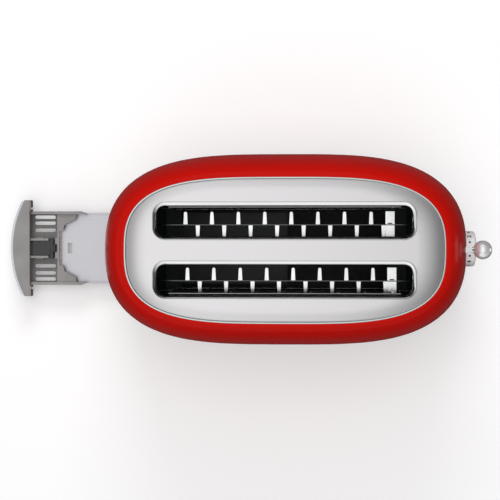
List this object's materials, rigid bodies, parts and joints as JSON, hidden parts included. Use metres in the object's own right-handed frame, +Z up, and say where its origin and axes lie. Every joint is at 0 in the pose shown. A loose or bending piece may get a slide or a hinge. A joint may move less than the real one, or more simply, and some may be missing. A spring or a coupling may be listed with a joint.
{
  "type": "pop-up toaster",
  "caption": "Long-slot pop-up toaster with a rounded painted shell, steel top, ball-ended lever, browning dial and pull-out crumb tray.",
  "frame": {"origin": "on the table, under the middle of the whole object's bounds with the crumb tray drawn out", "axes": "+X towards the lever and dial, -X the way the crumb tray pulls out, +Z up"},
  "size_m": [0.5348, 0.207, 0.21],
  "materials": {
    "red_paint": "gloss",
    "bright_chrome": "mirror polish",
    "satin_steel": "satin",
    "polished_steel": "polished",
    "zinc_steel": "plain",
    "rack_steel": "bright",
    "wire_steel": "polished",
    "bright_aluminium": "bright",
    "pan_aluminium": "satin",
    "black_plastic": "matte",
    "dark_teal_plastic": "matte",
    "grey_plastic": "matte",
    "latch_plastic": "matte",
    "black_rubber": "matte",
    "mica": "matte",
    "ribbon_wire": "plain",
    "dark_iron": "plain",
    "copper_coil": "lacquered",
    "board_green": "matte"
  },
  "bodies": {
    "housing": {"outer_shell": "red_paint", "trim_ring": "bright_chrome", "top_plate": "satin_steel", "slot_collar_rear": "polished_steel", "slot_collar_front": "polished_steel", "base_tub": "black_plastic", "chrome_skirt": "bright_chrome", "foot_1": "black_rubber", "foot_2": "black_rubber", "foot_3": "black_rubber", "foot_4": "black_rubber", "cord_gland": "black_rubber", "case_screws": "zinc_steel", "chassis_floor": "zinc_steel", "lever_end_plate": "zinc_steel", "far_end_plate": "zinc_steel", "chassis_top": "zinc_steel", "side_wall_rear": "bright_aluminium", "side_wall_front": "bright_aluminium", "heater_card_1": "mica", "heater_card_2": "mica", "heater_card_3": "mica", "heater_card_4": "mica", "heater_ribbons": "ribbon_wire", "guide_rods": "polished_steel", "return_springs": "zinc_steel", "magnet_core": "dark_iron", "magnet_coil": "copper_coil", "dial_bezel": "dark_teal_plastic", "control_board": "board_green", "potentiometer": "zinc_steel", "button_switches": "black_plastic"},
    "carriage": {"cam_plate": "zinc_steel", "carriage_plate": "zinc_steel", "slider_block": "black_plastic", "lever_arm": "polished_steel", "lever_collar": "black_rubber", "lever_ball": "bright_chrome", "armature": "dark_iron", "rack_rear": "rack_steel", "rack_front": "rack_steel"},
    "bread_cage_1": {"cage_1": "wire_steel"},
    "bread_cage_2": {"cage_2": "wire_steel"},
    "bread_cage_3": {"cage_3": "wire_steel"},
    "bread_cage_4": {"cage_4": "wire_steel"},
    "dial": {"dial_knob": "bright_chrome", "dial_face": "satin_steel", "dial_shaft": "polished_steel"},
    "push_button_1": {"button_1": "bright_chrome"},
    "push_button_2": {"button_2": "bright_chrome"},
    "push_button_3": {"button_3": "bright_chrome"},
    "push_button_4": {"button_4": "bright_chrome"},
    "crumb_tray": {"tray_front": "grey_plastic", "tray_face": "bright_chrome", "tray_frame": "grey_plastic", "tray_pan": "pan_aluminium", "tray_screws": "polished_steel", "latch_springs": "zinc_steel"},
    "latch": {"tray_latch": "latch_plastic"}
  },
  "joints": [
    {"name": "lever_slide", "type": "slide", "parent": "housing", "child": "carriage", "axis": [0, 0, 1], "range_m": [-0.06, 0], "stiffness_N_per_m": 90, "springref_m": 0.06, "deforming": ["return_springs"]},
    {"name": "cage_slide_1", "type": "slide", "parent": "housing", "child": "bread_cage_1", "axis": [0, 1, 0], "range_m": [-0.007, 0]},
    {"name": "cage_slide_2", "type": "slide", "parent": "housing", "child": "bread_cage_2", "axis": [0, 1, 0], "range_m": [0, 0.007]},
    {"name": "cage_slide_3", "type": "slide", "parent": "housing", "child": "bread_cage_3", "axis": [0, 1, 0], "range_m": [0, 0.007]},
    {"name": "cage_slide_4", "type": "slide", "parent": "housing", "child": "bread_cage_4", "axis": [0, 1, 0], "range_m": [-0.007, 0]},
    {"name": "dial_turn", "type": "hinge", "parent": "housing", "child": "dial", "pos_m": [0.2523, 0, 0.066], "axis": [-1, 0, 0], "range_deg": [-90, 135]},
    {"name": "button_press_1", "type": "slide", "parent": "housing", "child": "push_button_1", "axis": [-1, 0, 0], "range_m": [0, 0.0015], "stiffness_N_per_m": 250, "springref_m": -0.002},
    {"name": "button_press_2", "type": "slide", "parent": "housing", "child": "push_button_2", "axis": [-1, 0, 0], "range_m": [0, 0.0015], "stiffness_N_per_m": 250, "springref_m": -0.002},
    {"name": "button_press_3", "type": "slide", "parent": "housing", "child": "push_button_3", "axis": [-1, 0, 0], "range_m": [0, 0.0015], "stiffness_N_per_m": 250, "springref_m": -0.002},
    {"name": "button_press_4", "type": "slide", "parent": "housing", "child": "push_button_4", "axis": [-1, 0, 0], "range_m": [0, 0.0015], "stiffness_N_per_m": 250, "springref_m": -0.002},
    {"name": "tray_slide", "type": "slide", "parent": "housing", "child": "crumb_tray", "axis": [1, 0, 0], "range_m": [-0.16, 0.132]},
    {"name": "latch_slide", "type": "slide", "parent": "crumb_tray", "child": "latch", "axis": [1, 0, 0], "range_m": [0, 0.0018], "stiffness_N_per_m": 250, "springref_m": -0.002, "deforming": ["latch_springs"]}
  ],
  "couplings": [
    {"joint": "cage_slide_1", "follows": "lever_slide", "ratio": 0.11667},
    {"joint": "cage_slide_2", "follows": "lever_slide", "ratio": -0.11667},
    {"joint": "cage_slide_3", "follows": "lever_slide", "ratio": -0.11667},
    {"joint": "cage_slide_4", "follows": "lever_slide", "ratio": 0.11667}
  ]
}
